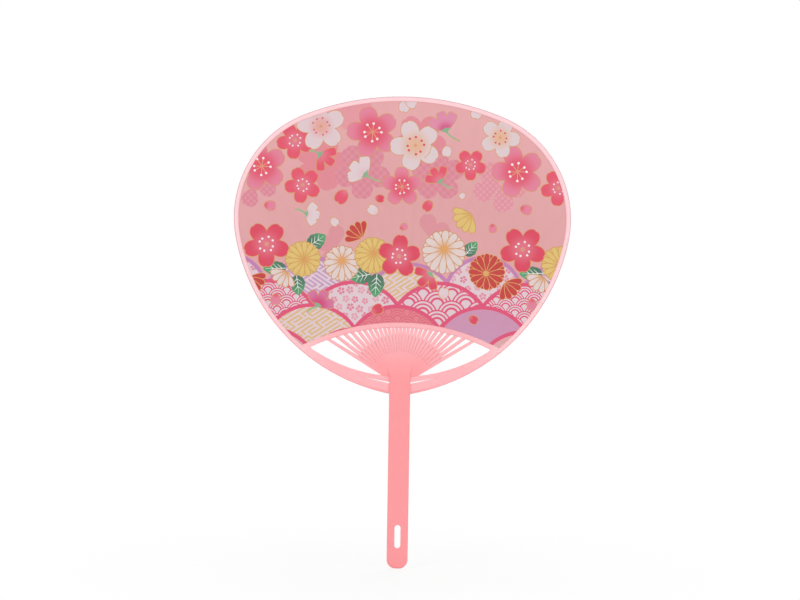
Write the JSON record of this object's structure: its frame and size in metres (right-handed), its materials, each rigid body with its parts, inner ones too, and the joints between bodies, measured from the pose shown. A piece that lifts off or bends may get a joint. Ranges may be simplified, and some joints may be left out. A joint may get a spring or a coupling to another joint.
{
  "type": "round uchiwa hand fan",
  "caption": "Rigid round hand fan: moulded pink plastic handle and ribs, floral printed sheets on both faces, bound edge and a hanging slot in the handle.",
  "frame": {"origin": "middle of the grip: half-way along the free length of the handle, in its mid-plane", "axes": "+Z along the handle towards the head, +X to the right seen from the front, front faces -Y"},
  "size_m": [0.2404, 0.0036, 0.3365],
  "materials": {
    "pink_plastic": "satin",
    "printed_sheet": "satin",
    "binding_strip": "satin"
  },
  "bodies": {
    "root": {"moulded_frame": "pink_plastic", "front_sheet": "printed_sheet", "back_sheet": "printed_sheet", "edge_binding": "binding_strip"}
  },
  "joints": []
}
